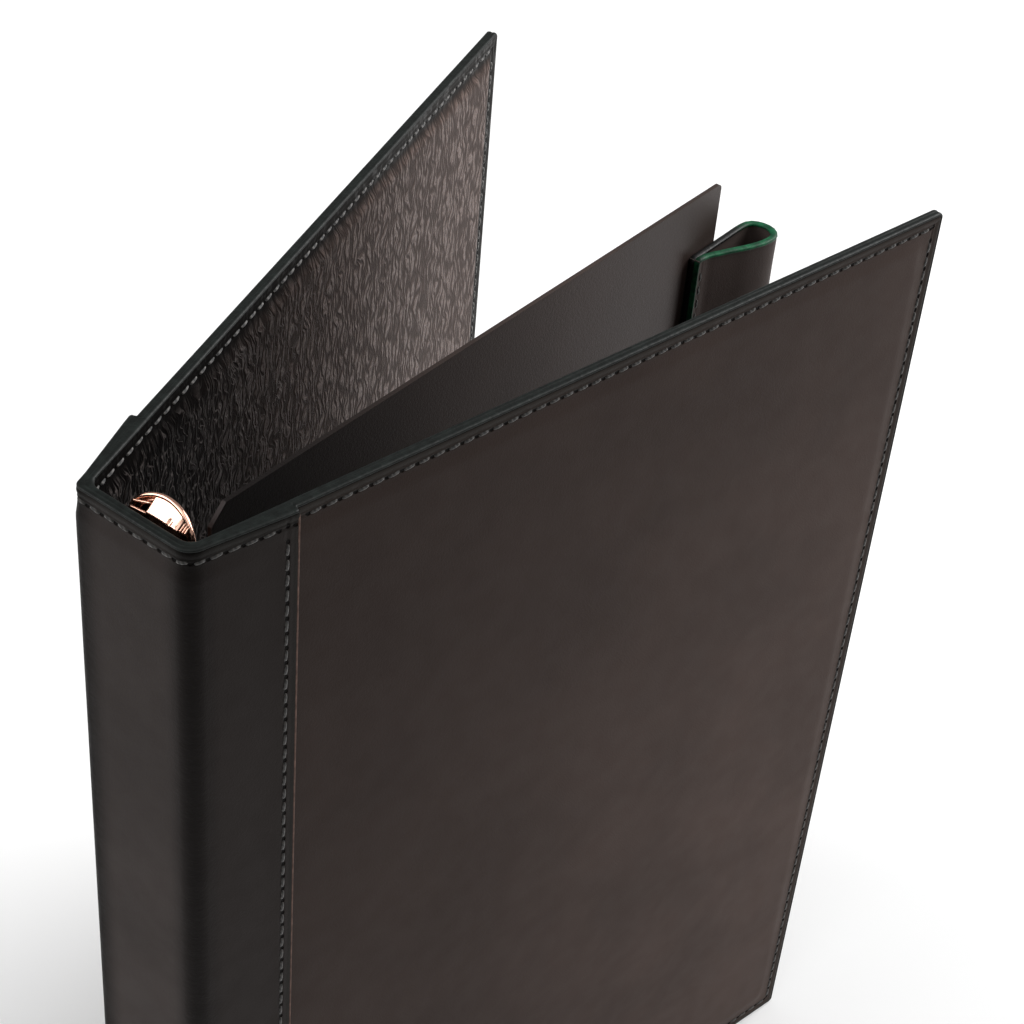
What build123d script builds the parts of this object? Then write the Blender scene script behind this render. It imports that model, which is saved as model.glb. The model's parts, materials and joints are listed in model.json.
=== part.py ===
from build123d import *
import os
from math import cos, radians, sin

# A5 ring-binder portfolio case, standing on its lower edges and half open.
# X runs along the width of the spine, Y runs from the spine into the binder, Z is up.
# The origin is the middle of the spine leather's foot.  Millimetres.

# ---- overall sizes ----
height = 240.0
spine_half_width = 12.4        # spine centre to each cover's hinge line
hinge_y = 0.25                 # hinge lines lie inside the thickness of the corner leather
cover_reach = 181.5            # hinge line to fore-edge
seam_reach = 20.5              # hinge line to the edge of the spine leather's wing
front_angle = 9.74             # each cover's lean away from the Y axis in the resting pose
back_angle = 17.8
corner_radius = 1.2
spine_board_inset = 2.4        # hinge line to the spine board, and to its leather and lining
spine_leather_inset = 0.8
spine_lining_inset = 1.8

# ---- leather, board and lining, as depths below the outer face of a panel ----
spine_face_y = -0.95           # outer face of the spine over its board
cover_face = 1.2               # outer face of a cover, measured outwards from its hinge line
border_drop = 0.4              # the stitched border lies this much below the padded middle
leather = 1.1
board_top = 1.1
board_bottom = 2.7
border_seam = 1.5              # where leather and lining meet in the stitched border
border_bottom = 2.6
lining_bottom = 3.6
border = 5.0                   # edge of a panel to the edge of its board
pad_margin = 1.2               # leather carried past the board before it drops to the border
pad_chamfer = 0.35
lap_reach = 12.5               # where the cover leather starts, under the spine leather's wing
wing_start = 0.8
wing_start_face = 0.8
cover_board_start = 14.0
cover_lining_start = 1.8

# ---- ring mechanism ----
ring_heights = (42.5, 87.5, 152.5, 197.5)
ring_radius = 6.9              # centre line of the wire
ring_centre_y = 12.25
wire_radius = 1.2
ring_foot_x = 4.8              # where the round wire turns down towards its blade
foot_bend_radius = 1.8
foot_end_y = 4.5
ring_gap = 0.04                # half the joint between the closed ring halves
foot_drop = (ring_radius**2 - ring_foot_x**2) ** 0.5
foot_bend = 90 - Vector(ring_foot_x, foot_drop).get_angle(Vector(0, 1))
foot_x = ring_foot_x - foot_bend_radius * (1 - ring_foot_x / ring_radius)
casing_foot_y = spine_face_y + lining_bottom
casing_half_width = 6.9
casing_shoulder_y = 5.6
casing_crown_y = 8.5
casing_wall = 0.8
casing_ends = (16.0, 224.0)
ear_length = 3.8
ear_top_y = 5.4
blade_pivot_x = 5.9
blade_pivot_y = 5.25
blade_reach = 5.8              # pivot to the blade's inner edge
blade_edge_gap = 0.15          # pivot to the blade's outer edge
blade_thickness = 0.9
blade_tilt = 5.0               # closed blades dip this much towards the middle
blade_ends = (16.6, 223.4)
rivet_heights = (65.0, 175.0)
rivet_radius = 1.5
rivet_clearance = 0.1
rivet_head_radius = 3.0
rivet_flare_thickness = 0.5
rivet_head_thickness = 0.9
rivet_notch_radius = 2.1       # cut in the blades round each rivet
ring_notch = (2.5, 7.4)        # slots in the casing that the ring feet swing in, from its middle
ring_notch_margin = 0.4
notch_depth_y = 5.2

# ---- levers at both ends of the mechanism ----
lever_pivot_y = 4.9
lever_pivot_z = 226.5          # upper lever; the lower one is its mirror image
lever_tip_z = 238.5
hood_near_z = 224.7
hood_round = 4.6               # height of the hood's rounded end
hood_half_width = 7.2
hood_edge_y = 6.85
hood_crown_y = 8.6
hood_thickness = 0.8
hood_lip_y = hood_edge_y - 0.5
web_half_width = 3.6
tongue_tip_z = 221.5
tongue_half_width = 2.4
tongue_top_y = 3.95
tongue_thickness = 0.7
web_root = 1.5                 # how far the web reaches below and beside the pin
lever_pin_radius = 0.8
pin_clearance = 0.05

# ---- divider and pen loop ----
divider_x = 3.84               # the divider hangs here on the right halves of the rings
divider_y = ring_centre_y + (ring_radius**2 - divider_x**2) ** 0.5
divider_tilt = 0.733           # leans a little towards the back cover
divider_thickness = 0.9
divider_reach = (-4.6, 143.8)  # spine-side edge and fore-edge, from the rings
divider_z = (4.0, 236.0)
divider_hole_radius = 3.1
divider_chamfer = 3.5
loop_reach = (134.6, 157.4)    # sewn edge and rounded edge, from the rings
loop_z = (162.5, 222.5)
loop_leather = 1.2
loop_swell = 8.6               # height of the tube above the divider at its widest
loop_mid_swell = 6.2
loop_nose_foot = 4.2           # nose to where the tube leaves the divider
loop_nose_height = 4.6
loop_crown = 3.0               # nose to the highest point of the tube
loop_wall_start = 7.0          # sewn edge to the start of the tube's hollow

os.makedirs("parts", exist_ok=True)


def save(piece, name):
    """Label a finished piece and write it as one STEP file."""
    piece.part.label = name
    export_step(piece.part, f"parts/{name}.step")


def cover_plane(side, angle, rise=0.0):
    """Plane parallel to a cover, with local X = side * reach and local Y = height."""
    lean = radians(angle)
    outward = Vector(side * cos(lean), -sin(lean), 0)
    along = Vector(sin(lean), side * cos(lean), 0)
    hinge = Vector(side * spine_half_width, hinge_y, 0)
    return Plane(origin=hinge + outward * rise, x_dir=along, z_dir=outward)


def spine_plane(depth):
    """Plane parallel to the spine at a depth below its outer face, normal pointing inwards."""
    return Plane(origin=(0, spine_face_y + depth, 0), x_dir=(-1, 0, 0), z_dir=(0, 1, 0))


def divider_plane(rise=0.0):
    """Plane parallel to the divider, with local X = reach from the rings and local Y = height."""
    lean = radians(divider_tilt)
    outward = Vector(cos(lean), sin(lean), 0)
    hinge = Vector(divider_x, divider_y, 0)
    return Plane(origin=hinge + outward * rise, x_dir=(-sin(lean), cos(lean), 0), z_dir=outward)


def middle(pair):
    """Middle of a span."""
    return (pair[0] + pair[1]) / 2


def span(pair):
    """Length of a span."""
    return pair[1] - pair[0]


# ---- spine: leather outside, board inside, lining on the binder side ----
spine_board_width = 2 * (spine_half_width - spine_board_inset)
spine_leather_width = 2 * (spine_half_width - spine_leather_inset)
spine_lining_width = 2 * (spine_half_width - spine_lining_inset)
spine_board_height = height - 2 * border
mid_height = (0.0, height / 2)

with BuildPart() as spine_leather:
    with BuildSketch(spine_plane(border_drop)):
        with Locations(mid_height):
            Rectangle(spine_leather_width, height)
    extrude(amount=border_seam - border_drop)
    with BuildSketch(spine_plane(0)):
        with Locations(mid_height):
            Rectangle(spine_board_width + 2 * pad_margin, spine_board_height + 2 * pad_margin)
    extrude(amount=border_drop)
    chamfer(spine_leather.faces().sort_by(Axis.Y)[0].edges(), pad_chamfer)
    with BuildSketch(spine_plane(board_top)):
        with Locations(mid_height):
            Rectangle(spine_board_width, spine_board_height)
    extrude(amount=border_seam - board_top, mode=Mode.SUBTRACT)
save(spine_leather, "spine_leather")

with BuildPart() as spine_board:
    with BuildSketch(spine_plane(board_top)):
        with Locations(mid_height):
            Rectangle(spine_board_width, spine_board_height)
    extrude(amount=board_bottom - board_top)
    with BuildSketch(spine_plane(board_top)):
        with Locations(*[(0, z) for z in rivet_heights]):
            Circle(rivet_radius + rivet_clearance)
    extrude(amount=board_bottom - board_top, mode=Mode.SUBTRACT)
    with BuildSketch(spine_plane(board_top)):
        with Locations(*[(0, z) for z in rivet_heights]):
            Circle(rivet_head_radius + rivet_clearance)
    extrude(amount=rivet_flare_thickness + rivet_clearance, mode=Mode.SUBTRACT)
save(spine_board, "spine_board")

with BuildPart() as spine_lining:
    with BuildSketch(spine_plane(border_seam)):
        with Locations(mid_height):
            Rectangle(spine_lining_width, height)
    extrude(amount=border_bottom - border_seam)
    with BuildSketch(spine_plane(border_bottom)):
        with Locations(mid_height):
            Rectangle(spine_board_width, spine_board_height + 2 * pad_margin)
    extrude(amount=lining_bottom - border_bottom)
    chamfer(spine_lining.faces().sort_by(Axis.Y)[-1].edges(), pad_chamfer)
    with BuildSketch(spine_plane(border_seam)):
        with Locations(mid_height):
            Rectangle(spine_board_width, spine_board_height)
    extrude(amount=board_bottom - border_seam, mode=Mode.SUBTRACT)
    with BuildSketch(spine_plane(board_bottom)):
        with Locations(*[(0, z) for z in rivet_heights]):
            Circle(rivet_radius + rivet_clearance)
    extrude(amount=lining_bottom - board_bottom, mode=Mode.SUBTRACT)
save(spine_lining, "spine_lining")


# ---- covers: cover leather, board, lining, and the wing of the spine leather lapped over them ----
def cover_span(side, start, end):
    """Middle of a stretch of a cover, as a sketch position."""
    return (side * (start + end) / 2, height / 2)


def panel_points(side, angle, profile):
    """Turn (reach, rise) pairs of a cover's cross-section into points seen from above."""
    lean = radians(angle)
    return [
        (
            side * (spine_half_width + reach * sin(lean) + rise * cos(lean)),
            hinge_y + reach * cos(lean) - rise * sin(lean),
        )
        for reach, rise in profile
    ]


def fore_edge(side):
    """Which end of a list of sketch corners sorted along X lies at the fore-edge."""
    return -1 if side > 0 else 0


def wing_inner_face(reach):
    """Height of the underside of the spine leather's wing above the hinge line."""
    rise = cover_face - border_drop - (wing_start_face - leather)
    return wing_start_face - leather + rise * (reach - wing_start) / (seam_reach - wing_start)


def make_wing(side, angle):
    """The part of the spine leather that laps over a cover, from the hinge line to the seam."""
    end_face = cover_face - border_drop + leather
    profile = [
        (wing_start, wing_start_face - leather),
        (seam_reach, end_face - leather),
        (seam_reach, end_face),
        (wing_start, wing_start_face),
    ]
    with BuildPart() as wing:
        with BuildSketch(Plane.XY):
            with BuildLine():
                Polyline(*panel_points(side, angle, profile), close=True)
            make_face()
        extrude(amount=height)
    return wing


def make_cover_leather(side, angle):
    """Outer leather of a cover, padded over the board and skived where the wing laps it."""
    board_end = cover_reach - border
    skived_tongue = [
        (lap_reach, cover_face - border_seam),
        (seam_reach, cover_face - border_seam),
        (seam_reach, cover_face - border_drop),
        (lap_reach, wing_inner_face(lap_reach)),
    ]
    with BuildPart() as skin:
        with BuildSketch(cover_plane(side, angle, cover_face - border_seam)):
            with Locations(cover_span(side, seam_reach, cover_reach)):
                Rectangle(cover_reach - seam_reach, height)
            fillet(vertices().group_by(Axis.X)[fore_edge(side)], corner_radius)
        extrude(amount=border_seam - border_drop)
        with BuildSketch(cover_plane(side, angle, cover_face - border_drop)):
            with Locations(cover_span(side, seam_reach, board_end + pad_margin)):
                Rectangle(board_end + pad_margin - seam_reach, spine_board_height + 2 * pad_margin)
        extrude(amount=border_drop)
        outward = Axis((0, 0, 0), cover_plane(side, angle).z_dir)
        chamfer(skin.faces().sort_by(outward)[-1].edges(), pad_chamfer)
        with BuildSketch(Plane.XY):
            with BuildLine():
                Polyline(*panel_points(side, angle, skived_tongue), close=True)
            make_face()
        extrude(amount=height)
        with BuildSketch(cover_plane(side, angle, cover_face - board_bottom)):
            with Locations(cover_span(side, cover_board_start, board_end)):
                Rectangle(board_end - cover_board_start, spine_board_height)
        extrude(amount=board_bottom - board_top, mode=Mode.SUBTRACT)
    return skin


def make_cover_board(side, angle):
    """Stiff board inside a cover."""
    board_end = cover_reach - border
    with BuildPart() as stiffener:
        with BuildSketch(cover_plane(side, angle, cover_face - board_bottom)):
            with Locations(cover_span(side, cover_board_start, board_end)):
                Rectangle(board_end - cover_board_start, spine_board_height)
        extrude(amount=board_bottom - board_top)
    return stiffener


def make_cover_lining(side, angle):
    """Grained lining on the inside of a cover, dished over the board."""
    board_end = cover_reach - border
    with BuildPart() as inner:
        with BuildSketch(cover_plane(side, angle, cover_face - border_bottom)):
            with Locations(cover_span(side, cover_lining_start, cover_reach)):
                Rectangle(cover_reach - cover_lining_start, height)
            fillet(vertices().group_by(Axis.X)[fore_edge(side)], corner_radius)
        extrude(amount=border_bottom - border_seam)
        with BuildSketch(cover_plane(side, angle, cover_face - lining_bottom)):
            with Locations(cover_span(side, cover_board_start - pad_margin, board_end + pad_margin)):
                Rectangle(
                    board_end - cover_board_start + 2 * pad_margin,
                    spine_board_height + 2 * pad_margin,
                )
        extrude(amount=lining_bottom - border_bottom)
        outward = Axis((0, 0, 0), cover_plane(side, angle).z_dir)
        chamfer(inner.faces().sort_by(outward)[0].edges(), pad_chamfer)
        with BuildSketch(cover_plane(side, angle, cover_face - board_bottom)):
            with Locations(cover_span(side, cover_board_start, board_end)):
                Rectangle(board_end - cover_board_start, spine_board_height)
        extrude(amount=board_bottom - border_seam, mode=Mode.SUBTRACT)
    return inner


for cover_name, cover_side, cover_angle in (("front", 1, front_angle), ("back", -1, back_angle)):
    save(make_wing(cover_side, cover_angle), f"{cover_name}_strip_leather")
    save(make_cover_leather(cover_side, cover_angle), f"{cover_name}_cover_leather")
    save(make_cover_board(cover_side, cover_angle), f"{cover_name}_cover_board")
    save(make_cover_lining(cover_side, cover_angle), f"{cover_name}_cover_lining")


# ---- ring casing: arched channel with an ear at each corner for the lever pins ----
with BuildPart() as ring_casing:
    with BuildSketch(Plane.XY.offset(casing_ends[0])):
        with BuildLine():
            Line((casing_half_width, casing_foot_y), (casing_half_width, casing_shoulder_y))
            ThreePointArc(
                (casing_half_width, casing_shoulder_y),
                (0, casing_crown_y),
                (-casing_half_width, casing_shoulder_y),
            )
            Line((-casing_half_width, casing_shoulder_y), (-casing_half_width, casing_foot_y))
            Line((-casing_half_width, casing_foot_y), (casing_half_width, casing_foot_y))
        make_face()
        with BuildLine():
            inner_half = casing_half_width - casing_wall
            Line((inner_half, casing_foot_y), (inner_half, casing_shoulder_y))
            ThreePointArc(
                (inner_half, casing_shoulder_y),
                (0, casing_crown_y - casing_wall),
                (-inner_half, casing_shoulder_y),
            )
            Line((-inner_half, casing_shoulder_y), (-inner_half, casing_foot_y))
            Line((-inner_half, casing_foot_y), (inner_half, casing_foot_y))
        make_face(mode=Mode.SUBTRACT)
    extrude(amount=span(casing_ends))
    ear_x = casing_half_width - casing_wall / 2
    for ear_z in (casing_ends[0] - ear_length, casing_ends[1]):
        with BuildSketch(Plane.XY.offset(ear_z)):
            with Locations(*[(s * ear_x, (casing_foot_y + ear_top_y) / 2) for s in (-1, 1)]):
                Rectangle(casing_wall, ear_top_y - casing_foot_y)
        extrude(amount=ear_length)
    with BuildSketch(Plane.YZ.offset(-casing_half_width)):
        with Locations((lever_pivot_y, lever_pivot_z), (lever_pivot_y, height - lever_pivot_z)):
            Circle(lever_pin_radius)
    extrude(amount=2 * casing_half_width, mode=Mode.SUBTRACT)
    with BuildSketch(Plane.XZ.offset(-casing_crown_y - 1)):
        notches = [(s * middle(ring_notch), z) for s in (-1, 1) for z in ring_heights]
        with Locations(*notches):
            Rectangle(span(ring_notch), 2 * (wire_radius + ring_notch_margin))
    extrude(amount=casing_crown_y + 1 - notch_depth_y, mode=Mode.SUBTRACT)
    with BuildSketch(Plane.XZ.offset(-casing_crown_y - 1)):
        with Locations(*[(0, z) for z in rivet_heights]):
            Circle(rivet_radius + rivet_clearance)
    extrude(amount=1 + 2 * casing_wall, mode=Mode.SUBTRACT)
save(ring_casing, "ring_casing")

# rivets through the casing, the lining and the spine board; their inner ends are flared
with BuildPart() as casing_rivets:
    with BuildSketch(spine_plane(board_top)):
        with Locations(*[(0, z) for z in rivet_heights]):
            Circle(rivet_head_radius)
    extrude(amount=rivet_flare_thickness)
    with BuildSketch(spine_plane(board_top)):
        with Locations(*[(0, z) for z in rivet_heights]):
            Circle(rivet_radius)
    extrude(amount=casing_crown_y - spine_face_y - board_top)
    with BuildSketch(Plane.XZ.offset(-casing_crown_y)):
        with Locations(*[(0, z) for z in rivet_heights]):
            Circle(rivet_head_radius)
    extrude(amount=-rivet_head_thickness)
    fillet(casing_rivets.faces().group_by(Axis.Y)[-1].edges(), 0.75 * rivet_head_thickness)
save(casing_rivets, "casing_rivets")


# ---- hinge blades and the half rings that are riveted to them ----
def make_blade(side):
    """One of the two long blades that snap past each other's edge under the casing."""
    tilt = radians(blade_tilt)
    along = Vector(-side * cos(tilt), -sin(tilt))
    across = Vector(-side * sin(tilt), cos(tilt))
    pivot = Vector(side * blade_pivot_x, blade_pivot_y)
    half = blade_thickness / 2
    profile = [
        (blade_edge_gap, -half),
        (blade_reach, -half),
        (blade_reach, half),
        (blade_edge_gap, half),
    ]
    corners = [pivot + along * reach + across * rise for reach, rise in profile]
    with BuildPart() as blade:
        with BuildSketch(Plane.XY.offset(blade_ends[0])):
            with BuildLine():
                Polyline(*corners, close=True)
            make_face()
        extrude(amount=span(blade_ends))
        with BuildSketch(Plane.XZ):
            with Locations(*[(side * foot_x, z) for z in ring_heights]):
                Circle(wire_radius)
            with Locations(*[(0, z) for z in rivet_heights]):
                Circle(rivet_notch_radius)
        extrude(amount=-casing_crown_y, mode=Mode.SUBTRACT)
    return blade


def make_half_rings(side):
    """Half rings of one side: round wire that meets its partner at the top of the ring."""
    with BuildPart() as halves:
        with BuildLine() as wire_path:
            foot_start = (side * ring_foot_x, ring_centre_y - foot_drop)
            ring_arc = ThreePointArc(
                (side * ring_gap, ring_centre_y + (ring_radius**2 - ring_gap**2) ** 0.5),
                (side * ring_radius, ring_centre_y),
                foot_start,
            )
            bend = JernArc(foot_start, ring_arc % 1, foot_bend_radius, side * foot_bend)
            Line(bend @ 1, (side * foot_x, foot_end_y))
        with BuildSketch(Plane(origin=ring_arc @ 0, z_dir=ring_arc % 0)):
            Circle(wire_radius)
        sweep()
        first = halves.part
    with BuildPart() as group:
        with Locations(*[(0, 0, z) for z in ring_heights]):
            add(first)
    return group


for blade_name, blade_side in (("left", -1), ("right", 1)):
    save(make_blade(blade_side), f"{blade_name}_blade")
    save(make_half_rings(blade_side), f"{blade_name}_rings")


# ---- levers: arched thumb hood with a rounded end, a web down to the pin, and a tongue ----
# The tongue lifts the inner edges of both blades when the hood is pressed towards the spine.
with BuildPart() as top_lever:
    with BuildSketch(Plane.XY.offset(hood_near_z)):
        hood_under_y = hood_crown_y - hood_thickness
        with BuildLine():
            ThreePointArc(
                (-hood_half_width, hood_edge_y), (0, hood_crown_y), (hood_half_width, hood_edge_y)
            )
            Line((hood_half_width, hood_edge_y), (hood_half_width, hood_lip_y))
            ThreePointArc(
                (hood_half_width, hood_lip_y), (0, hood_under_y), (-hood_half_width, hood_lip_y)
            )
            Line((-hood_half_width, hood_lip_y), (-hood_half_width, hood_edge_y))
        make_face()
    extrude(amount=lever_tip_z - hood_near_z)
    with BuildSketch(Plane.XZ.offset(-hood_crown_y - 1)):
        rounded_z = lever_tip_z - hood_round
        with Locations((0, rounded_z)):
            Ellipse(hood_half_width, hood_round)
        with Locations((0, (hood_near_z + rounded_z) / 2)):
            Rectangle(2 * hood_half_width, rounded_z - hood_near_z)
    extrude(amount=hood_crown_y + 1, mode=Mode.INTERSECT)
    with BuildSketch(Plane.YZ.offset(-web_half_width)):
        with BuildLine():
            Polyline(
                (lever_pivot_y - web_root, lever_pivot_z - web_root),
                (lever_pivot_y - web_root, lever_pivot_z + 1.0),
                (lever_pivot_y - 0.4, lever_pivot_z + 3.6),
                (hood_under_y - 0.3, lever_tip_z - 4.0),
                (hood_under_y + 0.3, lever_tip_z - 4.0),
                (hood_under_y + 0.3, hood_near_z + 0.2),
                (lever_pivot_y + 1.3, lever_pivot_z - web_root),
                close=True,
            )
        make_face()
    extrude(amount=2 * web_half_width)
    with BuildSketch(Plane.YZ.offset(-tongue_half_width)):
        tongue_z = (tongue_tip_z, lever_pivot_z - 1.0)
        with Locations((tongue_top_y - tongue_thickness / 2, middle(tongue_z))):
            Rectangle(tongue_thickness, span(tongue_z))
    extrude(amount=2 * tongue_half_width)
    with BuildSketch(Plane.YZ.offset(-web_half_width)):
        with Locations((lever_pivot_y, lever_pivot_z)):
            Circle(lever_pin_radius + pin_clearance)
    extrude(amount=2 * web_half_width, mode=Mode.SUBTRACT)
save(top_lever, "top_lever")

# pin that the lever turns on, held in the casing's two ears
with BuildPart() as top_lever_pin:
    with BuildSketch(Plane.YZ.offset(-casing_half_width)):
        with Locations((lever_pivot_y, lever_pivot_z)):
            Circle(lever_pin_radius)
    extrude(amount=2 * casing_half_width)
save(top_lever_pin, "top_lever_pin")

with BuildPart() as bottom_lever:
    mirror(top_lever.part, about=Plane.XY.offset(height / 2))
save(bottom_lever, "bottom_lever")

with BuildPart() as bottom_lever_pin:
    mirror(top_lever_pin.part, about=Plane.XY.offset(height / 2))
save(bottom_lever_pin, "bottom_lever_pin")


# ---- divider: stiff sheet with a hole for each ring ----
with BuildPart() as divider_sheet:
    with BuildSketch(divider_plane(-divider_thickness / 2)):
        with Locations((middle(divider_reach), middle(divider_z))):
            Rectangle(span(divider_reach), span(divider_z))
        chamfer(vertices().group_by(Axis.X)[0], divider_chamfer)
        fillet(vertices().group_by(Axis.X)[-1], corner_radius)
        with Locations(*[(0, z) for z in ring_heights]):
            Circle(divider_hole_radius, mode=Mode.SUBTRACT)
    extrude(amount=divider_thickness)
save(divider_sheet, "divider_sheet")

# pen loop: a strip folded round into a tube and sewn to the divider along its spine-side edge
with BuildPart() as pen_loop:
    divider_face = divider_plane(divider_thickness / 2)
    loop_top = divider_face.origin + Vector(0, 0, loop_z[1])
    with BuildSketch(Plane(origin=loop_top, x_dir=divider_face.x_dir, z_dir=(0, 0, -1))):
        sewn, nose = loop_reach
        with BuildLine():
            Line((sewn, 0), (nose - loop_nose_foot, 0))
            ThreePointArc(
                (nose - loop_nose_foot, 0), (nose, loop_nose_height), (nose - loop_crown, loop_swell)
            )
            Spline(
                (nose - loop_crown, loop_swell),
                (middle(loop_reach) + 2.0, loop_mid_swell),
                (sewn + 5.0, 2 * loop_leather + 0.2),
                (sewn, 2 * loop_leather),
            )
            Line((sewn, 2 * loop_leather), (sewn, 0))
        make_face()
        with BuildLine():
            Line((sewn + loop_wall_start, loop_leather), (nose - loop_nose_foot, loop_leather))
            ThreePointArc(
                (nose - loop_nose_foot, loop_leather),
                (nose - loop_leather, loop_nose_height - 0.1),
                (nose - loop_crown - 0.3, loop_swell - loop_leather),
            )
            Spline(
                (nose - loop_crown - 0.3, loop_swell - loop_leather),
                (middle(loop_reach) + 2.0, loop_mid_swell - loop_leather),
                (sewn + loop_wall_start, loop_leather),
            )
        make_face(mode=Mode.SUBTRACT)
    extrude(amount=span(loop_z))
save(pen_loop, "pen_loop")
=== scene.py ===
import json
import math
import random

import bpy
import numpy as np
from mathutils import Matrix, Vector


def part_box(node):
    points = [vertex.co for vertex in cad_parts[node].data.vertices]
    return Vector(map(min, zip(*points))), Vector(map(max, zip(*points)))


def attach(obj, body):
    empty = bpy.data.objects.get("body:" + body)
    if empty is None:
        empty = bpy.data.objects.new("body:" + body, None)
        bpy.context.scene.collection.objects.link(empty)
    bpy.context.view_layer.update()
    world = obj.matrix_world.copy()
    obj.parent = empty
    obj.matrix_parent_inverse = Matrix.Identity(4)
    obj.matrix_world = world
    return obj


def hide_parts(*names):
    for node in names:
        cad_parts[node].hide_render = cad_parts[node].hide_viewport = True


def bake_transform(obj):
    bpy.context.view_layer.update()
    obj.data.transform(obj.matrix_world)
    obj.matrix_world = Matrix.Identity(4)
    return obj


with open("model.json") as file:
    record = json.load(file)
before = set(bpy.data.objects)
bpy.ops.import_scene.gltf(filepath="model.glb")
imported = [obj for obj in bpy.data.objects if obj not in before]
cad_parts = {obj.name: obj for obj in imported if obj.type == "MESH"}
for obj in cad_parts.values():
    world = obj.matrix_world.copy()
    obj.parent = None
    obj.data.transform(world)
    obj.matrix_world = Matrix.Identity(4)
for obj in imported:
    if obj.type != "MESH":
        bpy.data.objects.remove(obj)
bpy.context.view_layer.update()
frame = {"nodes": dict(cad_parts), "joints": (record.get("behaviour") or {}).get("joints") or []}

# Looks of an A5 ring-binder portfolio case.  Lengths in this file are in millimetres, and place() turns them into
# metres.  X runs across the spine, Y from the spine into the binder, Z up.
MM = 0.001
rng = random.Random(7)


def box_mm(node):
    """Lowest and highest corner of a CAD node, in millimetres."""
    lo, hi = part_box(node)
    return lo / MM, hi / MM


joints = {j["name"]: j for j in frame["joints"]}

# ---- driving sizes, the same build-up as the CAD panels ----
height = box_mm("front_cover_leather")[1].z
spine_face = box_mm("spine_leather")[0].y      # outer face of the padded spine
cover_face = 1.2          # outer face of a cover, measured outwards from its hinge line
cover_reach = 181.5       # hinge line to fore-edge
seam_reach = 20.5         # hinge line to the edge of the spine hide's wing
border_depth = 0.4        # stitched border below the padded middle
leather = 1.1
rim_inner_depth = 2.6     # lining face in the stitched border
lining_depth = 3.6        # lining face in the middle
board_depth = 2.7         # inner face of the board
inner_round = 1.6         # radius of the spine's corner inside
fore_corner = 1.2         # rounding of a cover's free corners
wing_start, wing_run = 3.0, 16.5   # reach where the wing starts to climb over the cover, and the climb's length
wing_low, wing_climb = 0.42, 1.17  # depth of the wing's face before the climb, and its rise
stitch_row = 2.7          # edge to the stitches
seam_stitch_row = 2.3     # edge of the wing to its stitches
stitch_channel = 0.17     # depth of the groove the stitches lie in
pitch = 3.3               # stitch length, hole to hole
join_reach = 6.0          # beyond this reach inner and outer face share the same columns


# ---- plan of one half of the case: spine centre, rounded corner, cover ----
def smooth(x, lo, hi):
    """0 below lo, 1 above hi, smooth between."""
    t = np.clip((np.asarray(x, float) - lo) / (hi - lo), 0, 1)
    return t * t * (3 - 2 * t)


def hump(x, middle, half):
    """A smooth bump of height 1 that is 0 further than half from the middle."""
    t = np.clip(np.abs(np.asarray(x, float) - middle) / half, 0, 1)
    return (1 - t * t) ** 2


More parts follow.
